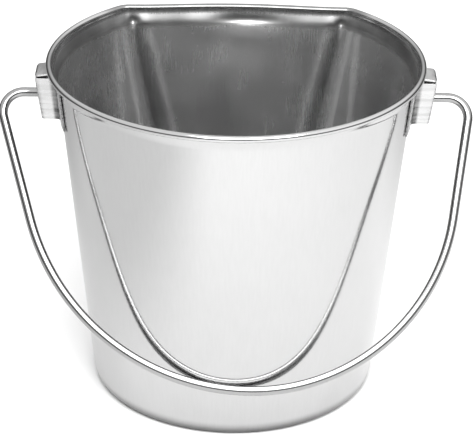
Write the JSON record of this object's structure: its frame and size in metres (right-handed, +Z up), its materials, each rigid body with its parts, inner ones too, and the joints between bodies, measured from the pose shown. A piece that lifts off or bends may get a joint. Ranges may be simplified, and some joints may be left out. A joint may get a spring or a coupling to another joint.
{
  "type": "pail",
  "caption": "Flat-backed stainless steel pail with a rolled rim, two folded welded ears and a swinging round-wire bail.",
  "frame": {"origin": "on the pail's turning axis, at the underside of its floor, where it rests", "axes": "+Z up; +Y towards the flat back; +X towards the right-hand ear as seen from the round front, where the bail hangs"},
  "size_m": [0.3185, 0.23, 0.2344],
  "materials": {
    "polished_sheet": "bright drawn and polished stainless steel sheet, near mirror, with faint upright grain",
    "folded_sheet": "mill-finished stainless steel sheet with a fine level grain across the folds",
    "bright_wire": "bright drawn stainless steel wire, near mirror, with faint drawing lines along it"
  },
  "bodies": {
    "pail": {"pail_shell": "polished_sheet", "ear_left": "folded_sheet", "ear_right": "folded_sheet"},
    "bail": {"bail": "bright_wire"}
  },
  "joints": [
    {"name": "bail_swing", "type": "hinge", "parent": "pail", "child": "bail", "pos_m": [0, 0, 0.2082], "axis": [-1, 0, 0], "range_deg": [0, 297.7]}
  ]
}
